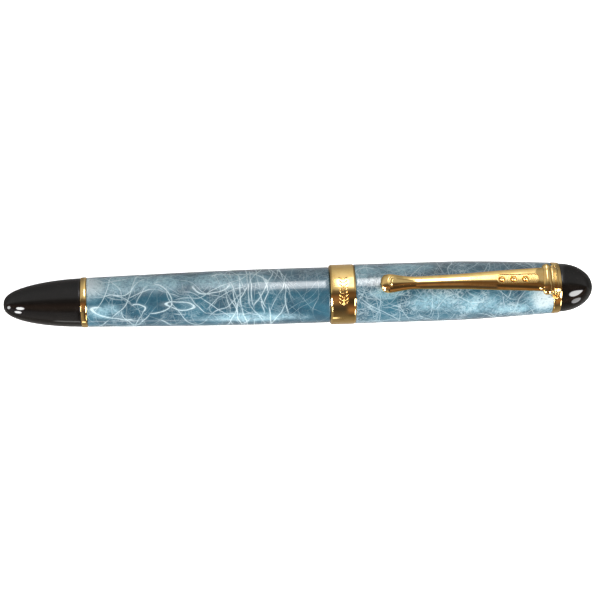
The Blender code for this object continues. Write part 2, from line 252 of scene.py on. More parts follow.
def box_cutter(low, high, turn=0.0):
    """A cutter between two (station, across, height) corners, turned about the pen's axis."""
    bm = bmesh.new()
    a, b = place(*low), place(*high)
    bmesh.ops.create_cube(bm, size=1.0)
    bmesh.ops.scale(bm, vec=b - a, verts=bm.verts)
    bmesh.ops.translate(bm, vec=(a + b) / 2, verts=bm.verts)
    centre = place(0.0, 0.0, 0.0)
    bmesh.ops.rotate(bm, cent=centre, matrix=Matrix.Rotation(turn, 3, "X"), verts=bm.verts)
    return as_cutter(bm)


def round_cutter(station, radius, low, high):
    bm = bmesh.new()
    bmesh.ops.create_cone(bm, cap_ends=True, segments=48, radius1=radius * MM,
                          radius2=radius * MM, depth=(high - low) * MM)
    bmesh.ops.translate(bm, vec=place(station, 0.0, (low + high) / 2), verts=bm.verts)
    return as_cutter(bm)


# Finishes

class Value:
    """A socket of a node tree. It takes ordinary arithmetic with numbers and other values."""

    def __init__(self, tree, socket):
        self.tree = tree
        self.socket = socket

    def __add__(self, other):
        return maths("ADD", self, other)

    def __radd__(self, other):
        return maths("ADD", other, self)

    def __sub__(self, other):
        return maths("SUBTRACT", self, other)

    def __rsub__(self, other):
        return maths("SUBTRACT", other, self)

    def __mul__(self, other):
        return maths("MULTIPLY", self, other)

    def __truediv__(self, other):
        return maths("DIVIDE", self, other)

    def __abs__(self):
        return maths("ABSOLUTE", self)

    def also(self, name):
        """Another output of the same node."""
        return Value(self.tree, self.socket.node.outputs[name])


def made(tree, kind, inputs, output=0, **settings):
    """One output of a new node. Its inputs are numbers, colours or values."""
    node = tree.nodes.new(kind)
    for key, setting in settings.items():
        setattr(node, key, setting)
    for key, value in inputs.items():
        if isinstance(value, Value):
            tree.links.new(value.socket, node.inputs[key])
        else:
            node.inputs[key].default_value = value
    return Value(tree, node.outputs[output])


def maths(operation, *values):
    tree = next(value.tree for value in values if isinstance(value, Value))
    return made(tree, "ShaderNodeMath", dict(enumerate(values)), operation=operation)


def ramp(value, low, high, to_low=0.0, to_high=1.0):
    """A value eased from one range to another."""
    inputs = {"Value": value, "From Min": low, "From Max": high,
              "To Min": to_low, "To Max": to_high}
    return made(value.tree, "ShaderNodeMapRange", inputs, interpolation_type="SMOOTHSTEP")


def fall(value, low, high):
    """One before a range and zero after it."""
    return ramp(value, low, high, 1.0, 0.0)


def noise(where, scale, detail=2.0, roughness=0.5, distortion=0.0, output="Fac"):
    inputs = {"Vector": where, "Scale": scale, "Detail": detail, "Roughness": roughness,
              "Distortion": distortion}
    return made(where.tree, "ShaderNodeTexNoise", inputs, output)


def mapped(where, scale=(1.0, 1.0, 1.0), shift=(0.0, 0.0, 0.0)):
    inputs = {"Vector": where, "Scale": scale, "Location": shift}
    return made(where.tree, "ShaderNodeMapping", inputs)


def split(vector):
    """The three parts of a vector or a colour."""
    first = made(vector.tree, "ShaderNodeSeparateXYZ", {0: vector})
    return first, first.also("Y"), first.also("Z")


def mixed(share, first, second):
    """A blend of two colours, each of them (red, green, blue) or a value."""
    inputs = {"Factor": share, "A": first, "B": second}
    for key in ("A", "B"):
        if not isinstance(inputs[key], Value):
            inputs[key] = (*inputs[key], 1.0)
    return made(share.tree, "ShaderNodeMix", inputs, "Result", data_type="RGBA")


def feed(shader, name, value):
    value.tree.links.new(value.socket, shader.inputs[name])


def bumped(shader, height, depth):
    """Feeds a bump of that depth in millimetres."""
    inputs = {"Height": height, "Distance": depth * MM, "Strength": 1.0}
    feed(shader, "Normal", made(height.tree, "ShaderNodeBump", inputs))


def new_finish(name, **constants):
    """A material, its Principled node and its object coordinates in millimetres."""
    material = bpy.data.materials.new(name)
    material.use_nodes = True
    tree = material.node_tree
    shader = tree.nodes["Principled BSDF"]
    for key, value in constants.items():
        shader.inputs[key.replace("_", " ")].default_value = value
    where = made(tree, "ShaderNodeTexCoord", {}, "Object")
    return material, shader, mapped(where, (1000.0, 1000.0, 1000.0))


def blot(surface, middle, reach):
    """One at a (station, arc) place on the surface, falling to zero at that reach from it."""
    along_it = (surface[1] - middle[0]) / reach[0]
    round_it = (surface[2] - middle[1]) / reach[1]
    return fall(along_it * along_it + round_it * round_it, 0.0, 1.0)


def stroke(off, width, glow):
    """A line by the distance from its middle, with a faint glow beside it."""
    core = fall(off, width * 0.25, width * 0.75)
    return maths("MAXIMUM", core, ramp(off, 0.0, width * 3.0, glow, 0.0))


def strands(surface, lean, spacing, width, presence, seed, sway):
    """Threads of even width across the surface. They lie side by side at random distances, lean
    that many degrees from straight round the pen, sway together and fade in and out."""
    where, station, arc = surface
    drift = noise(mapped(where, shift=(seed, seed * 1.7, 0)), 0.075, 0.6, 0.4)
    turn = radians(lean)
    field = station * cos(turn) + arc * sin(turn)
    field = (field + (drift - 0.5) * sway) / spacing
    lane = maths("FLOOR", field) + seed
    chance = split(made(where.tree, "ShaderNodeTexWhiteNoise", {"W": lane}, "Color",
                        noise_dimensions="1D"))
    off = maths("FRACT", field) - ramp(chance[0], 0.0, 1.0, 0.2, 0.8)
    thread = stroke(abs(off) * spacing, width, 0.16)
    thread = thread * ramp(chance[1], 1.0 - presence, 1.15 - presence)
    shift = made(where.tree, "ShaderNodeCombineXYZ", {"X": lane * 5.3})
    patch = made(where.tree, "ShaderNodeVectorMath", {0: where, 1: shift}, operation="ADD")
    return thread * ramp(noise(patch, 0.13, 2.0), 0.4, 0.56)


def loop(surface, middle, reach, lean, open_to):
    """One drawn-out ring of thread on the surface, which fades away towards open_to, in (u, v)."""
    turn = radians(lean)
    x = surface[1] - middle[0]
    y = surface[2] - middle[1]
    u = x * (cos(turn) / reach[0]) + y * (sin(turn) / reach[0])
    v = y * (cos(turn) / reach[1]) - x * (sin(turn) / reach[1])
    ring = maths("SQRT", u * u + v * v)
    line = stroke(abs(ring - 1.0) * min(reach), RING_WIDTH, 0.2)
    if open_to:
        side = u * open_to[0] + v * open_to[1]
        line = line * fall(side, -0.2, 0.5)
    return line


def tangle(where, scale, width, seed):
    """Fine curling fibres: the level lines of a twisted noise, which fade in and out."""
    shifted = mapped(where, shift=(seed, seed * 0.7, seed * 1.3))
    off = abs(noise(shifted, scale, 2.5, 0.55, 1.2) - 0.5)
    line = fall(off, width * scale * 0.15, width * scale * 0.75)
    return line * ramp(noise(shifted, 0.2, 2.0), 0.42, 0.58)


DEEP_BLUE, MID_BLUE, MOTTLE_BLUE = (0.007, 0.045, 0.075), (0.017, 0.09, 0.135), (0.06, 0.19, 0.25)
THREAD_WHITE, SNOW_WHITE, FLECK_BLUE = (0.52, 0.65, 0.69), (0.43, 0.5, 0.52), (0.03, 0.1, 0.14)
SKIN_RADIUS = 6.7          # turns an angle round the pen into a distance on its skin
RIPPLE = 2.0               # how far the marble's pattern is bent out of true
RING_WIDTH = 0.21
CURLS = ((0.3, 0.12, 1.275), (0.42, 0.11, 1.105), (0.62, 0.09, 0.935))    # scale, width, strength


def lacquer_finish(name, seed, families, rings, hazes_and_sheen, snow, web, pale):
    """Marbled lacquer under a clear coat: drifting clouds of pale blue, with threads over them.

    families: (lean, spacing, width, presence, sway, strength, where along the pen or None).
    rings: single loops. hazes_and_sheen: (middle, reach, least share) of paler clouds; those on
    the upper far side are also a painted highlight, the lamp's sheen painted into the colour.
    snow: (middle, reach) of the patches that are almost white. web: how cloudy it is all over.
    pale: the colour of the clouds and of that painted highlight.
    """
    material, shader, local = new_finish(
        name, Roughness=0.3, Coat_Weight=1.0, Coat_Roughness=0.02, Coat_IOR=1.5)
    where = mapped(local, shift=seed)
    x, y, z = split(local)
    angle = maths("ARCTAN2", y, z - AXIS_HEIGHT)
    ripple = split(noise(where, 0.22, 0.6, output="Color"))
    station = x + (LENGTH / 2 - RIPPLE / 2) + ripple[0] * RIPPLE
    arc = angle * SKIN_RADIUS - RIPPLE / 2 + ripple[1] * RIPPLE
    surface = (where, station, arc)

    threads = None
    for i, (lean, spacing, width, presence, sway, strength, span) in enumerate(families):
        layer = strands(surface, lean, spacing, width, presence, 13.0 * i + seed[0], sway)
        layer = layer * strength
        if span:
            middle, reach = span
            layer = layer * fall(abs(station - middle), reach * 0.6, reach)
        threads = maths("MAXIMUM", threads, layer) if threads else layer
    for ring in rings:
        threads = maths("MAXIMUM", threads, loop(surface, *ring) * 0.9)
    # The pattern meets itself underneath, where the threads fade out.
    threads = threads * fall(abs(angle), 2.9, 3.1)

    fluff = noise(where, 0.16, 6.0, 0.68, 0.9)
    fibre = noise(where, 0.85, 5.0, 0.72, 1.6)
    grain = noise(where, 2.6, 3.0, 0.75)
    pools = ramp(noise(where, 0.15, 2.0), 0.43, 0.54, 0.15, 1.0)
    threads = threads * ramp(fibre, 0.34, 0.58, 0.6, 1.0)
    for scale, width, strength in CURLS:
        curls = tangle(where, scale, width, 40.0 * scale) * pools
        threads = maths("MAXIMUM", threads, curls * (strength * web))
    cloud_and_sheen = ramp(fluff, 0.68 - 0.3 * web, 0.9 - 0.3 * web, 0.0, 0.35 + 0.45 * web) * pools
    # Paler clouds from the table. Those on the upper far side are also a painted highlight: the
    # lamp's lighter sheen on the coat, painted into the colour.
    for middle, reach, least in hazes_and_sheen:
        haze = blot(surface, middle, reach) * ramp(fluff, 0.28, 0.56, least, 1.0)
        cloud_and_sheen = maths("MAXIMUM", cloud_and_sheen, haze)
    cloud_and_sheen = cloud_and_sheen * ramp(fibre, 0.34, 0.6, 0.35, 1.0) * ramp(grain, 0.3, 0.5, 0.55, 1.0)

    base = mixed(ramp(noise(where, 0.1, 3.0, 0.6), 0.36, 0.64), DEEP_BLUE, MID_BLUE)
    base = mixed(ramp(grain, 0.42, 0.75, 0.0, 0.28), base, MOTTLE_BLUE)
    # Mixes in the pale clouds, with the painted highlight among them.
    base = mixed(cloud_and_sheen * 0.9, base, pale)
    for middle, reach in snow:
        drift = blot(surface, middle, reach) * ramp(fibre, 0.3, 0.55, 0.45, 1.0)
        base = mixed(drift, base, SNOW_WHITE)
    base = mixed(threads * 0.96, base, THREAD_WHITE)
    cells = made(where.tree, "ShaderNodeTexVoronoi", {"Vector": where, "Scale": 1.25}, "Distance")
    pick = split(cells.also("Color"))[0]
    spot = ramp(cells, 0.12, 0.27, 0.75, 0.0) * ramp(pick, 0.55, 0.7)
    feed(shader, "Base Color", mixed(spot, base, FLECK_BLUE))
    bumped(shader, noise(where, 0.9, 2.0), 0.002)
    return material


def gold_finish(name, colour, shade, roughness, grain, panel=None):
    """Polished plate: faint buffing marks round the pen, cloudy wear in its gloss. panel is the
    (first station, last station, half width) of a flat that is stippled dull."""
    material, shader, where = new_finish(name, Metallic=1.0)
    wear = noise(where, 0.5, 4.0, 0.65)
    feed(shader, "Base Color", mixed(ramp(wear, 0.35, 0.7), colour, shade))
    marks = noise(mapped(where, (9.0, 0.7, 0.7)), 1.6, 3.0, 0.6)
    gloss = (ramp(wear, 0.3, 0.75, roughness * 0.6, roughness * 1.4)
             + ramp(marks, 0.55, 0.8, 0.0, roughness * 0.7))
    if panel:
        first, last, half = panel
        x, y, z = split(where)
        facing = split(made(where.tree, "ShaderNodeNewGeometry", {}, "Normal"))[2]
        station = x + LENGTH / 2
        dull = ramp(station, first, first + 0.3) * fall(station, last - 0.3, last)
        dull = dull * fall(abs(y), half - 0.02, half + 0.02)
        dull = dull * ramp(facing, 0.96, 0.975)
        gloss = gloss + dull * 0.18
        marks = marks + dull * noise(where, 9.0, 3.0, 0.7) * 5.0
    feed(shader, "Roughness", gloss)
    bumped(shader, marks, grain)
    return material


def dark_finish(name, colour, roughness, ior, grain):
    """Moulded black resin: faint swirls in its gloss, barely paler flecks in its colour."""
    material, shader, where = new_finish(name, IOR=ior)
    haze = noise(where, 0.35, 4.0, 0.6, 0.5)
    lighter = tuple(1.8 * c for c in colour)
    feed(shader, "Base Color", mixed(ramp(haze, 0.4, 0.8), colour, lighter))
    hairs = noise(mapped(where, (0.6, 5.0, 5.0)), 1.5, 3.0)
    gloss = (ramp(haze, 0.3, 0.7, roughness * 0.7, roughness * 1.3)
             + ramp(hairs, 0.6, 0.8, 0.0, roughness * 0.5))
    feed(shader, "Roughness", gloss)
    bumped(shader, hairs, grain)
    return material


def nib_finish():
    """Gold-plated nib with a bright steel inlay that follows its outline, and a scrolled border."""
    material, shader, where = new_finish("nib_two_tone", Metallic=1.0)
    x, y, z = split(where)
    station = x + LENGTH / 2
    half = ramp(station, 106.0, 121.0, 2.9, 0.45)
    wave = maths("SINE", station * 2.1) * 0.16
    edge = abs(y) - (half + wave)
    heel = ramp(station, 104.6, 104.8)
    inlay = fall(edge, -0.05, 0.05) * heel
    border = fall(abs(edge - 0.25), 0.03, 0.08) * heel
    marks = noise(mapped(where, (0.8, 8.0, 8.0)), 1.4, 3.0)
    feed(shader, "Base Color", mixed(inlay, (0.92, 0.62, 0.25), (0.74, 0.75, 0.76)))
    feed(shader, "Roughness", ramp(marks, 0.3, 0.8, 0.08, 0.24))
    bumped(shader, marks * 0.06 - border, 0.05)
    return material


def clear_finish():
    """Clear tube, with scuffs in its gloss."""
    material, shader, where = new_finish(
        "clear_tube", Base_Color=(0.7, 0.765, 0.8, 1.0), Transmission_Weight=1.0, IOR=1.48)
    scuffs = noise(mapped(where, (1.0, 3.0, 3.0)), 1.2, 4.0, 0.65)
    feed(shader, "Roughness", ramp(scuffs, 0.45, 0.8, 0.03, 0.2))
    bumped(shader, scuffs, 0.01)
    return material


BARREL_THREADS = (
    (4, 1.7, 0.22, 0.9, 3, 0.9, (61, 10)), (-24, 2.6, 0.21, 0.8, 4, 0.85, (60, 11)),
    (26, 2.8, 0.2, 0.8, 4, 0.85, (59, 12)), (52, 6.5, 0.22, 0.9, 16, 0.85, (45, 24)),
    (-46, 6, 0.22, 0.9, 18, 0.9, (38, 26)), (-68, 7, 0.2, 0.9, 18, 0.85, (42, 26)),
    (80, 6.5, 0.18, 0.8, 14, 0.7, (40, 30)), (20, 6, 0.18, 0.8, 12, 0.75, (40, 30)),
    (-14, 4.5, 0.19, 0.75, 8, 0.7, (29, 14)), (60, 1.7, 0.08, 0.7, 10, 0.4, None),
    (-60, 1.9, 0.08, 0.7, 12, 0.4, None), (0, 2.1, 0.08, 0.6, 9, 0.38, None),
)
BARREL_RINGS = (
    ((32.4, -3.7), (1.75, 0.95), 8, (-1.1, -0.9)), ((42.5, -3.4), (3.6, 1), -9, None),
    ((57, 3.1), (6.5, 1.9), -10, (0, -1.2)), ((36.5, -1.6), (4.2, 3.6), -24, (-1.2, -0.4)),
    ((50, 1.4), (4.4, 1.8), 8, (0, 1.4)), ((27, -5.2), (5.5, 1.4), -16, (0.9, 1.2)),
)
# (middle, reach, least share) of paler clouds on the barrel. The four rows at a positive arc, on
# the upper far side, also paint in the sheen of the lamp above: a painted highlight.
BARREL_HAZES_AND_SHEEN = (
    ((20, 3.2), (7.5, 6), 0.9), ((28, 3.6), (11, 4.4), 0.35), ((38, 3.4), (11, 3.6), 0.3),
    ((53, 3), (13, 3.2), 0.3), ((60, -7.3), (16, 2), 0.4), ((24.5, -4.6), (5, 2.6), 0),
)
BARREL_SNOW = (((18.5, 3.6), (7, 6)),)
CAP_THREADS = (
    (62, 4, 0.16, 0.9, 14, 0.7, None), (-58, 4.2, 0.16, 0.9, 14, 0.7, None),
    (30, 4, 0.15, 0.8, 12, 0.65, None), (-34, 4.2, 0.15, 0.8, 14, 0.65, None),
    (78, 3.5, 0.15, 0.8, 10, 0.65, (94, 16)), (6, 3.6, 0.15, 0.7, 9, 0.6, (96, 14)),
    (50, 1.1, 0.08, 0.85, 11, 0.45, None), (-50, 1.2, 0.08, 0.85, 12, 0.45, None),
    (-78, 1, 0.075, 0.85, 10, 0.42, None), (12, 1.3, 0.08, 0.8, 10, 0.42, None),
)
# (middle, reach, least share) of paler clouds on the cap. The two rows at a positive arc, on the
# upper far side, also paint in the light of the lamp above: a painted highlight.
CAP_HAZES_AND_SHEEN = (
    ((131, -4), (7, 6), 0.8), ((104, -4.2), (8.5, 3.2), 0.25), ((113.5, -5.2), (7.5, 3.4), 0.3),
    ((92, -1.8), (5.5, 1.3), 0.2), ((87, 4.2), (6, 3.2), 0.5), ((97, 4.5), (9, 2.6), 0.2),
    ((122, -7.3), (7, 2.2), 0.2),
)
CAP_SNOW = (((131.5, -4.2), (5, 4.2)),)
blue_barrel = lacquer_finish("barrel_lacquer", (3.0, 11.0, 6.0), BARREL_THREADS, BARREL_RINGS,
                             BARREL_HAZES_AND_SHEEN, BARREL_SNOW, 0.18, (0.25, 0.43, 0.5))
blue_cap = lacquer_finish("cap_lacquer", (64.0, 25.0, 40.0), CAP_THREADS, (), CAP_HAZES_AND_SHEEN,
                          CAP_SNOW, 0.44, (0.2, 0.385, 0.46))
PLATE = ((0.93, 0.66, 0.27), (0.87, 0.57, 0.2), 0.07, 0.0016)
gold = gold_finish("polished_gold", *PLATE)
clip_gold = gold_finish("clip_gold", *PLATE, PANEL)
worked_gold = gold_finish("worked_gold", (0.9, 0.62, 0.25), (0.78, 0.48, 0.16), 0.16, 0.004)
brass = gold_finish("turned_brass", (0.78, 0.58, 0.27), (0.6, 0.4, 0.16), 0.24, 0.012)
gloss_black = dark_finish("gloss_black", (0.004, 0.0034, 0.003), 0.05, 1.45, 0.0008)
satin_black = dark_finish("satin_black", (0.018, 0.018, 0.019), 0.3, 1.5, 0.006)
seal_black = dark_finish("seal_rubber", (0.012, 0.012, 0.012), 0.6, 1.5, 0.015)
two_tone = nib_finish()
clear = clear_finish()


# The barrel and its tail

def nose(length, base, gain, blunt, count):
    """(distance from the tip, radius) points of a bullet-shaped end, closest at the tip."""
    points = []
    for i in range(count):
        share = 1.0 - cos(pi / 2 * i / (count - 1))
        radius = (base + gain * share) * (1.0 - (1.0 - share) ** 2) ** (1.0 / blunt)
        points.append((length * share, radius))
    return points


def barrel_radius(station):
    slope = max(0.0, (63.5 - station) / (63.5 - BARREL_START))
    return 6.75 - 0.8 * slope ** 1.5


def cap_radius(station):
    slope = max(0.0, (station - CAP_TAPER) / (CAP_TOP - CAP_TAPER))
    return 7.2 - slope ** 1.35


def steps(low, high, count):
    return [low + (high - low) * k / (count - 1) for k in range(count)]


turned("tail_end", nose(TAIL_END, 5.42, 0.48, 2.6, 40)[:-1] + [
    (TAIL_END, 5.9, 0.12), (TAIL_END, 4.85), (25.0, 4.85), (25.0, 4.2), (13.0, 4.2), (12.2, 3.4),
    (12.2, 0.0),
], gloss_black, "barrel", ["tail_cone"], 160)

turned("tail_trim", [
    (18.75, 4.91), (18.75, 6.02, 0.25), (18.95, 6.07), (19.45, 6.09), (19.95, 6.1),
    (20.2, 6.05, 0.2), (20.2, 4.91),
], gold, "barrel", ["tail_ring"], 160)

barrel_skin = [(s, barrel_radius(s)) for s in steps(BARREL_START + 0.3, BARREL_LIP - 0.35, 60)]
turned("barrel_shell", [(BARREL_START, barrel_radius(BARREL_START), 0.22)] + barrel_skin + [
    (BARREL_LIP, 6.7, 0.25), (BARREL_LIP, 5.85, 0.1), (66.0, 5.85), (36.0, 5.5), (27.0, 5.25),
    (25.6, 4.91), (BARREL_START, 4.91),
], blue_barrel, "barrel", ["barrel_tube"], 160)


def thread(start, end, pitch, depth, sign=1.0):
    """A radius change for a screw thread between two stations. sign is -1 for one cut in a bore."""
    run_out = 0.6

    def shape(station, radius, angle):
        fade = smooth(station, start, start + run_out) * (1.0 - smooth(station, end - run_out, end))
        phase = (station / pitch + angle / (2.0 * pi)) % 1.0
        crest = abs(2.0 * phase - 1.0)
        return radius - sign * depth * fade * (1.0 - crest)
    return shape


turned("barrel_insert", [(67.0, 5.79), (77.65, 5.79), (77.65, 5.09, 0.1)] + [
    (s, 5.09) for s in steps(77.4, 67.1, 150)] + [(67.0, 5.09)],
    brass, "barrel", ["barrel_bush"], 96, thread(67.2, 77.3, 1.0, 0.25, -1.0), 30.0)

turned("seal_ring", [
    (78.175 + 0.42 * cos(a), 5.39 + 0.3 * sin(a)) for a in full_turn(20)
], seal_black, "seal", ["mouth_seal"], 96)

turned("loose_trim", [
    (78.75, 5.06), (78.75, 5.88, 0.2), (79.4, 5.92), (79.6, 5.82), (80.05, 5.82), (80.25, 5.92),
    (80.9, 5.88, 0.2), (80.9, 5.06),
], gold, "loose_ring", ["centre_ring"], 128)


# The section: grip, threaded tenon, nib and feed

def grip_shape(station, radius, angle):
    """Three finger flats with soft ends: two on top, one underneath."""
    if radius < 4.9:
        return radius
    depth = smooth(station, 85.4, 87.0) * (1.0 - smooth(station, 98.6, 100.0))
    reach = radius
    for facing in (pi / 3, pi, -pi / 3):
        off = abs((angle - facing + pi) % (2 * pi) - pi)
        if off < 0.8:
            flat = (FLAT_DISTANCE + 0.9 * (1.0 - depth)) / cos(off)
            reach = min(reach, flat)
    return reach


GRIP = ((81.0, 5.72), (84.0, 5.72), (89.0, 5.42), (94.0, 5.12), (98.0, 5.02), (100.8, 5.2))
turned("grip_sleeve", [(80.95, 4.61), (80.95, 5.7, 0.25)] + [
    (s, eased(GRIP, s, 0.8)[0]) for s in steps(81.4, 101.2, 70)] + [
    (101.6, 5.15, 0.15), (101.6, 4.3), (102.9, 4.3), (102.9, 3.95), (87.05, 3.95), (87.05, 4.61),
], gloss_black, "section", ["grip"], 192, grip_shape, 28.0)

turned("threaded_tenon", [(70.5, 3.95), (70.5, 4.85, 0.15)] + [
    (s, 4.98) for s in steps(70.75, 80.0, 150)] + [
    (80.9, 4.98), (80.9, 4.55), (87.0, 4.55), (87.0, 3.95),
], brass, "section", ["section_collar"], 96, thread(70.6, 79.2, 1.0, 0.3), 30.0)

turned("grip_trim", [
    (101.65, 4.36), (101.65, 5.2, 0.15), (101.9, 5.3), (102.3, 5.28), (102.7, 5.18),
    (103.0, 5.0, 0.15), (103.0, 4.36),
], gold, "section", ["grip_ring"], 128)

turned("housing", [
    (83.2, 0.6), (83.2, 1.0), (84.0, 1.25), (89.0, 1.25), (89.0, 3.89), (102.95, 3.89),
    (102.95, 3.5, 0.1), (90.2, 3.5), (90.2, 0.6),
], satin_black, "section", ["nib_housing"], 96)

# (station, degrees that the sheet wraps to each side, its bend's radius, its top) along the nib.
NIB = (
    (91, 100, 3.225, 3.225), (103.4, 100, 3.225, 3.225), (104.6, 84, 3.32, 3.225),
    (106.2, 74.5, 4.1, 3.22), (108.2, 68.8, 4.45, 3.18), (110.5, 59.7, 4.4, 3.1),
    (113.5, 44.6, 4.2, 2.95), (117, 32.6, 3.8, 2.72), (120.5, 24.4, 3.2, 2.45),
    (123.5, 19, 2.4, 2.18), (125.5, 18.2, 1.6, 2),
)
BREATHER = 111.6           # station of the hole that the slit starts from


def make_nib():
    """The nib as a bent sheet with a slit and a round breather hole."""
    bm = bmesh.new()
    columns, thickness = 40, 0.32
    outer, inner = [], []
    for station in steps(NIB[0][0], NIB[-1][0], 110):
        reach, curve, top = eased(NIB, station, 0.7)
        for rows, shift in ((outer, thickness / 2), (inner, -thickness / 2)):
            row = []
            for k in range(columns + 1):
                angle = radians(reach) * (2.0 * k / columns - 1.0)
                across = (curve + shift) * sin(angle)
                row.append(place(station, across, top - curve + (curve + shift) * cos(angle)))
            rows.append(row)
    loft(bm, [a + b[::-1] for a, b in zip(outer, inner)])
    nib = finished("nib_sheet", bm, two_tone, "section", 40.0, ["nib"])
    carve(nib, box_cutter((BREATHER, -0.05, 0.5), (127.5, 0.05, 5.0)))
    carve(nib, round_cutter(BREATHER, 0.8, 1.5, 4.5))
    smoothed(nib, 40.0)

    bm = bmesh.new()
    for side in (-1.0, 1.0):
        ball(bm, 125.95, 0.2 * side, 1.86, 0.42, 20)
    finished("nib_tip", bm, two_tone, "section", 60.0, ["nib_pellet"])


def make_feed():
    """The feed: a rod that narrows under the tines, with comb fins cut across it."""
    fins, first, pitch, gap = 9, 104.8, 0.82, 0.36
    table = ((90.3, 2.96, 2.96), (104.2, 2.96, 2.96), (107.0, 2.85, 2.96), (110.5, 2.55, 2.86),
             (113.5, 2.1, 2.72), (117.0, 1.45, 2.46), (120.0, 0.8, 2.16), (121.2, 0.45, 1.96))
    bm = bmesh.new()
    rings = []
    for station in steps(table[0][0], table[-1][0], 90):
        radius, top = eased(table, station, 0.8)
        rings.append([place(station, radius * sin(a), top - radius + radius * cos(a))
                      for a in full_turn(48)])
    loft(bm, rings)
    feed = finished("feed_rod", bm, satin_black, "section", 35.0, ["feed"])
    for i in range(fins):
        start = first + pitch * i
        carve(feed, box_cutter((start, -5.0, -6.0), (start + gap, 5.0, -0.5 + 0.12 * i)))
    smoothed(feed, 35.0)


make_nib()
make_feed()


# The converter

def fluted(station, radius, angle):
    """Grip flutes round the knob."""
    depth = smooth(station, 23.0, 23.8) * (1.0 - smooth(station, 33.0, 33.8))
    if radius < 3.4:
        return radius
    return radius - 0.16 * depth * (0.5 - 0.5 * cos(28 * angle))


turned("ink_tube", [
    (49.0, 3.1), (49.0, 3.7, 0.1)] + [(s, 3.7) for s in steps(50.0, 83.0, 12)] + [
    (83.6, 3.7, 0.2), (84.4, 3.0, 0.2), (88.8, 3.0, 0.15), (88.8, 1.31), (82.9, 1.31), (82.4, 3.1),
], clear, "converter", ["converter_tube"], 96)
turned("converter_sleeve", [
    (37.2, 2.1), (37.2, 3.92, 0.2), (38.0, 3.92), (38.15, 3.8), (38.35, 3.8), (38.5, 3.92),
    (51.4, 3.92), (51.55, 3.82), (51.75, 3.82), (51.9, 3.92), (53.0, 3.92, 0.12), (53.0, 3.76),
    (48.9, 3.76), (48.9, 3.0), (45.3, 3.0), (45.3, 2.1),
], gold, "converter", ["converter_collar"], 96)
turned("turning_knob", [(22.0, 0.0), (22.0, 3.3, 0.5)] + [
    (s, 3.55) for s in steps(22.6, 36.4, 60)] + [
    (37.1, 3.4, 0.3), (37.1, 2.0), (45.55, 2.0), (45.55, 1.1), (23.2, 1.1), (23.2, 0.0),
], satin_black, "knob", ["converter_knob"], 224, fluted, 30.0)
turned("lead_nut", [
    (45.6, 1.1), (45.6, 2.9, 0.15), (48.2, 2.9, 0.15), (48.2, 1.1),
], brass, "knob", ["drive_nut"], 64)
turned("screw_rod", [(45.0, 0.0), (45.0, 1.0)] + [
    (s, 1.0) for s in steps(45.2, 76.8, 320)] + [(80.0, 1.0), (80.0, 0.0)],
    satin_black, "piston", ["plunger_rod"], 32,
    thread(45.2, 77.0, 2.0, 0.22), 60.0)
turned("plunger_head", [
    (77.2, 1.1), (77.2, 2.6, 0.2), (78.3, 2.6, 0.1), (78.3, 1.8), (82.2, 1.8, 0.2), (82.2, 0.0),
    (80.2, 0.0), (80.2, 1.1),
], satin_black, "piston", ["piston_head"], 64)
turned("plunger_seal", [
    (78.4, 1.9), (78.4, 2.9, 0.1), (78.9, 3.04, 0.2), (79.4, 2.84, 0.2), (81.0, 2.84, 0.2),
    (81.5, 3.04, 0.2), (82.1, 2.9, 0.1), (82.1, 1.9),
], seal_black, "piston", ["piston_seal"], 64)


# The cap

turned("lip_band", [
    (CAP_LIP, 6.05), (CAP_LIP, 6.98, 0.12), (79.12, 7.26, 0.08), (79.3, 7.28), (84.3, 7.28),
    (84.5, 7.26, 0.08), (BAND_END, 7.06, 0.1), (BAND_END, 6.76), (79.6, 6.76), (79.6, 6.05),
], gold, "cap", ["cap_band"], 192)

cap_skin = [(s, cap_radius(s)) for s in steps(BAND_END + 0.3, CAP_TOP - 0.3, 60)]
turned("cap_shell", [(79.65, 6.31), (79.65, 6.7), (BAND_END + 0.05, 6.7),
                     (BAND_END + 0.05, 7.2, 0.15)] + cap_skin + [
    (CAP_TOP, cap_radius(CAP_TOP), 0.2), (CAP_TOP, 3.45), (131.7, 3.45), (131.7, 5.36),
    (127.0, 5.6), (121.0, 5.95), (112.0, 6.31),
], blue_cap, "cap", ["cap_tube"], 160)

clutch = turned("clutch_sleeve", [
    (79.7, 6.0, 0.08), (79.7, 6.25), (87.5, 6.25), (87.5, 6.0, 0.08)] + [
    (s, 6.0) for s in steps(87.0, 80.2, 12)],
    brass, "cap", ["cap_clutch"], 96)
for turn in (45.0, 135.0):
    carve(clutch, box_cutter((81.5, -0.35, -8.0), (88.0, 0.35, 8.0), radians(turn)))

turned("cap_liner", [
    (129.4, 0.0), (129.4, 4.2, 0.3), (128.9, 4.6), (112.0, 5.3), (101.0, 5.45), (88.0, 5.75, 0.15),
    (88.0, 6.24), (112.0, 6.24), (121.0, 5.88), (127.0, 5.53), (131.6, 5.29), (131.6, 2.66),
    (130.3, 2.66), (130.3, 0.0),
], satin_black, "cap", ["inner_cap"], 96)

turned("crown_stud", [
    (130.35, 0.0), (130.35, 2.3), (130.65, 2.6), (138.6, 2.6), (138.6, 0.0),
], brass, "cap", ["finial_stud"], 48)

crown = [(LENGTH - s, r) for s, r in nose(LENGTH - CROWN_START, 5.9, 0.0, 2.0, 40)]
turned("crown_end", crown[:-1] + [
    (CROWN_START, 5.9, 0.1), (CROWN_START, 2.72), (138.7, 2.72), (138.7, 0.0),
], gloss_black, "cap", ["crown"], 160)


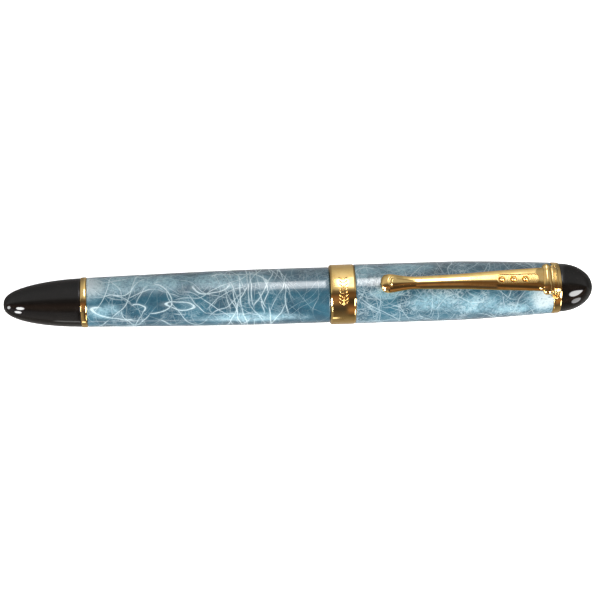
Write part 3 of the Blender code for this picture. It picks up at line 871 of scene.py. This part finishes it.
def make_clip_root():
    """The ring under the crown, with a moulded lug on top that ends in small curls."""
    bm = bmesh.new()
    outline = rounded([
        (132.75, 2.72), (132.75, 6.16, 0.12), (133.0, 6.22), (133.45, 6.22), (134.4, 6.16),
        (134.65, 6.08, 0.1), (134.65, 2.72),
    ])
    rows = [[bm.verts.new(around(s, r, angle)) for angle in full_turn(160)] for s, r in outline]
    for row, after in zip(rows, rows[1:] + rows[:1]):
        bridge(bm, row, after)

    def section(t):
        lift = (1.0 - 0.3 * abs(t) ** 3.0) * sqrt(max(0.0, 1.0 - abs(t) ** 7))
        corners = [(-1.05, 0.25), (-1.05, 1.33, 0.1), (-0.82, 1.73, 0.12), (-0.38, 1.75, 0.1),
                   (-0.3, 1.55, 0.05), (-0.16, 1.55, 0.05), (-0.08, 1.73, 0.1), (0.42, 1.63, 0.12),
                   (0.62, 1.22, 0.1), (1.0, 1.2, 0.1), (1.05, -0.5), (-0.25, -0.5), (-0.25, 0.25)]
        return [(along_it, -0.6 + (out + 0.6) * lift) for along_it, out in rounded(corners)]

    swept_arc(bm, 133.1, 6.2, 34.0, section, 81)
    for side in (-1.0, 1.0):
        for spread, radius, size, shift in ((34.5, 6.6, 0.42, -0.62), (38.0, 6.4, 0.34, 0.1)):
            angle = radians(spread) * side
            ball(bm, 133.25 + shift, radius * sin(angle), radius * cos(angle), size, 20)
    finished("clip_root_ring", bm, gold, "cap", 30.0, ["clip_ring"])


NOSE_TIP, NOSE_BACK = 90.65, 93.0
# (station, half width, underside, top, share of the height that the sides take, how square the
# top is, how square the underside is) along the clip's arm, from the back of its round nose.
ARM = (
    (93, 2.34, 7.36, 10.14, 0.45, 2, 2), (94.4, 2.12, 7.44, 9.98, 0.45, 2, 2.2),
    (95.9, 1.84, 7.66, 9.8, 0.4, 2, 2.6), (97.3, 1.64, 7.9, 9.66, 0.35, 2, 3),
    (98.8, 1.57, 8.1, 9.56, 0.25, 2, 4), (100.3, 1.58, 8.18, 9.6, 0.18, 1.95, 5),
    (103.3, 1.68, 8.2, 9.72, 0.15, 1.9, 5), (109.2, 1.87, 8.2, 9.85, 0.15, 1.9, 5),
    (112, 2, 8.2, 9.88, 0.15, 1.9, 5), (118.6, 2.4, 8.2, 9.88, 0.15, 1.9, 5),
    (124.5, 2.68, 8.12, 9.7, 0.15, 1.9, 5), (128.4, 2.87, 7.98, 9.5, 0.15, 1.9, 5),
    (129.7, 2.92, 7.9, 9.02, 0.2, 1.9, 5), (130.9, 2.95, 7.75, 8.8, 0.2, 1.9, 5),
)
LOBE = ((92.8, 1.12), (94.4, 1.08), (95.9, 0.86), (97.3, 0.6), (98.6, 0.28), (99.6, 0.0))
PROUD = 0.22               # how far the tear-shaped lobe stands up
LOBE_FRONT = 92.85
GROOVE_DEPTH, GROOVE_WIDTH = 0.1, 0.22


def panel_floor(station):
    """The height of the clip's sunk flat."""
    return 9.58 - 0.36 * (station - PANEL[0]) / (PANEL[1] - PANEL[0])


def arm_section(station):
    """The arm's outline at a station: a crowned bar, with both its halves superellipses. Before
    NOSE_BACK the width and the height both shrink, which rounds the nose."""
    half, low, high, share, crown, belly = eased(ARM, station, 0.5)
    back = max(0.0, (NOSE_BACK - station) / (NOSE_BACK - NOSE_TIP))
    middle = 0.5 * (low + high)
    half *= max(0.004, 1.0 - back ** 2.7) ** (1.0 / 2.7)
    thick = max(0.004, 1.0 - back ** 2.3) ** (1.0 / 2.3)
    low, high = middle + (low - middle) * thick, middle + (high - middle) * thick
    edge = low + share * (high - low)
    reach = max(along(LOBE, station)[0], 0.14, 0.45 * half * smooth(station, 99.0, 103.0))
    reach = min(reach, 0.9 * half)
    start = acos(reach / half)
    across = [half * cos(start * k / 12) for k in range(12)]
    across += [reach * sin(pi / 2 * (1.0 - k / 12)) for k in range(13)]
    across += [-y for y in across[:-1]][::-1]
    points = []
    for y in across:
        rise = max(0.0, 1.0 - abs(y / half) ** crown) ** (1.0 / crown)
        points.append((y, edge + (high - edge) * rise + lobe_height(station, y)))
    for k in range(1, 20):
        angle = pi * k / 20
        c, s = -cos(angle), sin(angle)
        points.append((half * copysign(abs(c) ** (2.0 / belly), c),
                       edge - (edge - low) * abs(s) ** (2.0 / belly)))
    return points


def lobe_height(station, across):
    """What the lobe behind the nose adds: a tear with a round front, and a groove before it."""
    reach = along(LOBE, station)[0]
    front = LOBE_FRONT + 0.5 * (abs(across) / LOBE[0][1]) ** 2.5
    rise = smooth(station, front, front + 0.5)
    if reach < 0.01 or rise == 0.0:
        body = 0.0
    else:
        body = rise * smooth(1.0 - abs(across) / reach, 0.0, 0.55)
    groove = exp(-((station - front + 0.15) / GROOVE_WIDTH) ** 2)
    groove *= (1.0 - smooth(abs(across), 0.9, 1.5))
    tear = PROUD * body * (1.0 - 0.5 * smooth(station, 95.0, 99.6))
    return tear - GROOVE_DEPTH * groove * smooth(station, 92.2, 92.6)


def panel_cutter():
    """A stadium-shaped block, a little hollow underneath, that sinks the flat into the arm."""
    first, last, half = PANEL
    turns = [pi / 2 * (0.02 + 0.98 * k / 12) for k in range(13)]
    ends = [(first + half * (1.0 - cos(a)), half * sin(a)) for a in turns]
    ends += [(last - half * (1.0 - cos(a)), half * sin(a)) for a in turns[::-1]]
    rings = []
    for station, reach in ends:
        floor = [(y, panel_floor(station) - y * y / 12.0) for y in steps(-reach, reach, 15)]
        rings.append([place(station, y, z) for y, z in floor + [(reach, 12.0), (-reach, 12.0)]])
    bm = bmesh.new()
    loft(bm, rings)
    return as_cutter(bm)


def make_clip_arm():
    """The clip's arm, with its sunk flat and a dish about each bead."""
    bm = bmesh.new()
    count = 26
    turns = [pi / 2 * i / count for i in range(count)]
    stations = [NOSE_BACK - (NOSE_BACK - NOSE_TIP) * cos(turn) for turn in turns]
    stations += steps(NOSE_BACK, 100.2, 73) + steps(100.6, 117.8, 36) + steps(118.2, 130.9, 50)
    loft(bm, [[place(station, y, z) for y, z in arm_section(station)] for station in stations])
    arm = finished("clip_arm", bm, clip_gold, None, 32.0, ["clip"])
    carve(arm, panel_cutter())
    for station in BEADS:
        dish = bmesh.new()
        ball(dish, station, 0.0, panel_floor(station) + 1.06, 1.35, 40)
        carve(arm, as_cutter(dish))
    smoothed(arm, 32.0)
    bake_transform(arm)


def make_clip_trim():
    """The collar across the clip's root, its neck to the ring, and the beads in their dishes."""
    def section(t):
        size = 1.0 - 0.06 * exp(-((abs(t) - 0.6) / 0.12) ** 2)
        size *= sqrt(max(0.004, 1.0 - max(0.0, (abs(t) - 0.745) / 0.255) ** 2))
        return [(1.15 * size * cos(a), size * sin(a)) for a in full_turn(28)]

    bm = bmesh.new()
    swept_arc(bm, COLLAR, 8.4, 26.5, section, 97)
    collar = finished("clip_collar", bm, gold, None, 50.0)
    bm = bmesh.new()
    corners = rounded([(-0.6, -0.45), (-0.6, 0.45), (-0.3, 0.36, 0.15), (0.3, 0.3, 0.15),
                       (0.6, 0.4), (0.6, -0.5)])
    swept_arc(bm, 131.9, 8.1, 20.0, lambda t: corners, 48)
    neck = finished("clip_neck", bm, gold, None, 30.0)
    for piece in (collar, neck):
        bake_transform(piece)
    bm = bmesh.new()
    for station in BEADS:
        ball(bm, station, 0.0, panel_floor(station) + 0.06, 0.62, 32)
    finished("clip_beads", bm, gold, "clip", 60.0)


def make_scroll():
    """A laurel sprig worked on the cap band, a little to one side of the clip: a straight stem
    round the band with pairs of small leaves."""
    bm = bmesh.new()
    radius, middle, station, reach, pairs = 7.27, radians(-9.0), 81.8, 27.0, 8

    def spot(t, side):
        """A point t along the stem, from -1 to 1, and side millimetres off it."""
        return around(station + side, radius, middle + radians(reach) * t)

    tube(bm, [spot(t, 0.0) for t in steps(-1.0, 1.0, 40)], lambda t: 0.09, 8)
    for i in range(pairs):
        root = -0.96 + 1.8 * i / (pairs - 1)
        for side in (-1.0, 1.0):
            leaf = [spot(root + 0.23 * t, side * (0.08 + 1.0 * t ** 0.8))
                    for t in steps(0.0, 1.0, 12)]
            tube(bm, leaf, lambda t: 0.04 + 0.17 * sin(pi * t ** 0.9), 8)
    finished("band_scroll", bm, worked_gold, "cap", 60.0)


make_clip_root()
make_clip_arm()
make_clip_trim()
make_scroll()


# Light, floor and camera

def make_world():
    """Surroundings as the polished parts see them: a long softbox on the far side, darkness
    about the camera, a warm wall and the table on the near side, and windows past both ends.
    Each place is given by the turn about the pen, in degrees, and by x, the direction along it."""
    world = bpy.data.worlds.new("studio")
    bpy.context.scene.world = world
    world.use_nodes = True
    tree = world.node_tree
    x, y, z = split(made(tree, "ShaderNodeTexCoord", {}, "Generated"))
    turn = maths("ARCTAN2", y, z)
    share = turn / (2.0 * pi) + 0.5
    bearing = turn * (180.0 / pi)

    def sweep(stops):
        """Colours by the turn about the pen, from (degrees, red, green, blue) stops."""
        colours = made(tree, "ShaderNodeValToRGB", {0: share}, "Color")
        scale = colours.socket.node.color_ramp
        while len(scale.elements) < len(stops):
            scale.elements.new(0.5)
        for element, (stop, red, green, blue) in zip(scale.elements, stops):
            element.position = (stop + 180.0) / 360.0
            element.color = (red, green, blue, 1.0)
        return colours

    def patch(strength, low_turn, high_turn, soft, low_x, soft_low, high_x, soft_high):
        """Extra light from between two turns about the pen and two directions along it."""
        light = (ramp(bearing, low_turn - soft, low_turn + soft)
                 * fall(bearing, high_turn - soft, high_turn + soft))
        light = light * ramp(x, low_x - soft_low, low_x + soft_low)
        light = light * fall(x, high_x - soft_high, high_x + soft_high)
        return light * strength

    def oval(strength, middle, reach, middle_x, reach_x):
        """The same, but an ellipse about a turn and a direction along the pen."""
        off = (bearing - middle) / reach
        off_x = (x - middle_x) / reach_x
        return ramp(off * off + off_x * off_x, 0.7, 1.1, strength, 0.0)

    far = ((16, 1.15, 1.15, 1.15), (47, 1.15, 1.15, 1.15), (72, 0.82, 0.83, 0.82),
           (90, 0.58, 0.58, 0.57), (108, 0.44, 0.43, 0.42), (180, 0.45, 0.44, 0.42))
    under = ((-180, 0.45, 0.44, 0.42), (-150, 0.4, 0.39, 0.37), (-134, 0.3, 0.28, 0.26),
             (-122, 0.24, 0.22, 0.19))
    ends = sweep(under + (
        (-100, 0.14, 0.12, 0.11), (-74, 0.06, 0.055, 0.06), (-60, 0.09, 0.075, 0.08),
        (-48, 0.25, 0.17, 0.12), (-37, 0.35, 0.22, 0.15), (-26, 0.25, 0.14, 0.09),
        (-12, 0.1, 0.08, 0.07), (-2, 0.2, 0.18, 0.17), (9, 0.95, 0.95, 0.92)) + far)
    over_clip = sweep(under + (
        (-104, 0.1, 0.09, 0.08), (-92, 0.26, 0.16, 0.1), (-78, 0.4, 0.24, 0.14),
        (-64, 0.2, 0.12, 0.08), (-50, 0.05, 0.04, 0.035), (-36, 0.06, 0.045, 0.035),
        (-22, 0.16, 0.1, 0.065), (-8, 0.12, 0.08, 0.055), (2, 0.3, 0.27, 0.25),
        (10, 1.0, 1.0, 0.98)) + far)
    glow = 0.0
    for window in (
        (7, 14.5, 47, 2, 0.02, 0.05, 0.1, 0.012), (4.5, 24, 41, 2, 0.02, 0.05, 0.1, 0.012),
        (1.3, 12, 54, 3, 0.112, 0.012, 0.2, 0.03),
        (1.8, -122, -113, 1.5, -0.2, 0.02, 0.02, 0.02),
        (0.3, -112, -62, 8, -1, 0.05, -0.1, 0.05),
    ):
        glow = glow + patch(*window)
    for window in (
        (27, -49, 12, -0.64, 0.08), (25, -85, 12, -0.62, 0.07),
        (14, -72, 32, -0.92, 0.05), (18, -54, 17, 0.68, 0.25),
        (6.5, -104, 17, 0.61, 0.15),
    ):
        glow = glow + oval(*window)
    far_side = ramp(bearing, -8.0, 4.0)
    lit = ramp(x, -0.1, 0.05, 0.55, 1.0) * ramp(x, 0.2, 0.3, 1.0, 0.45)
    ground = tree.nodes["Background"]
    feed(ground, "Color", mixed(ramp(x, 0.085, 0.11), ends, over_clip))
    feed(ground, "Strength", 1.0 - far_side * (1.0 - lit))
    windows = made(tree, "ShaderNodeBackground", {"Color": (1.0, 1.0, 1.0, 1.0), "Strength": glow})
    walls = Value(tree, ground.outputs[0])
    both = made(tree, "ShaderNodeAddShader", {0: walls, 1: windows})
    feed(tree.nodes["World Output"], "Surface", both)


def make_light(name, place_at, power):
    """A soft lamp, aimed at the origin, that lights the pen and isn't mirrored in it."""
    lamp = bpy.data.lights.new(name, "AREA")
    lamp.shape = "RECTANGLE"
    lamp.size, lamp.size_y = 0.9, 0.5
    lamp.energy = power
    obj = bpy.data.objects.new(name, lamp)
    obj.location = place_at
    obj.rotation_euler = (-Vector(place_at)).to_track_quat("-Z", "Y").to_euler()
    obj.visible_glossy = False
    bpy.context.scene.collection.objects.link(obj)


def staged(name, bm, material):
    """A mesh that isn't part of the pen and isn't mirrored in it."""
    obj = linked(name, bm, material)
    obj.visible_glossy = False
    return obj


def make_floor():
    """A white floor, and a plain white backdrop behind it that sends the pen no light."""
    half_side, drop, backdrop_radius = 4.0, 0.0003, 3.5
    material, shader, where = new_finish("white_sweep", Roughness=0.9)
    tone = noise(where, 0.01, 2.0)
    feed(shader, "Base Color", mixed(tone, (0.93, 0.93, 0.93), (0.95, 0.95, 0.95)))
    shader.inputs["Emission Color"].default_value = (1.0, 1.0, 1.0, 1.0)
    shader.inputs["Emission Strength"].default_value = 0.9
    bm = bmesh.new()
    bm.faces.new([bm.verts.new((half_side * x, half_side * y, -drop))
                  for x, y in ((-1, -1), (1, -1), (1, 1), (-1, 1))])
    staged("floor", bm, material)
    bm = bmesh.new()
    bmesh.ops.create_uvsphere(bm, u_segments=48, v_segments=24, radius=backdrop_radius)
    dome = staged("backdrop", bm, material)
    dome.visible_diffuse = False
    dome.visible_transmission = False
    dome.visible_shadow = False


def make_camera():
    """Above the near side, square to the pen, turned a little along it and tilted."""
    foot, target = place(48.2, 0.0, 0.0), place(71.6, 0.0, 0.0)
    elevation, roll, distance, rise = radians(75.0), radians(-1.8), 0.5236, 1.05 * MM
    back = Vector((0.0, -cos(elevation), sin(elevation)))
    up = back.cross(Vector((1.0, 0.0, 0.0)))
    location = foot + back * distance
    ahead = (target - up * rise - location).normalized()
    side = ahead.cross(up).normalized()
    top = side.cross(ahead)
    tilted = side * cos(roll) + top * sin(roll)
    top = top * cos(roll) - side * sin(roll)
    data = bpy.data.cameras.new("camera")
    data.sensor_width = 36.0
    data.lens = 129.6
    data.clip_start = 0.01
    camera = bpy.data.objects.new("camera", data)
    bpy.context.scene.collection.objects.link(camera)
    turned_to = Matrix((tilted, top, -ahead)).transposed().to_4x4()
    camera.matrix_world = Matrix.Translation(location) @ turned_to
    bpy.context.scene.camera = camera


make_world()
make_light("key", (0.1, 0.5, 0.7), 0.6)
make_light("fill", (-0.1, -0.7, 0.4), 0.95)
make_floor()
make_camera()
bpy.context.scene.view_settings.view_transform = "Standard"
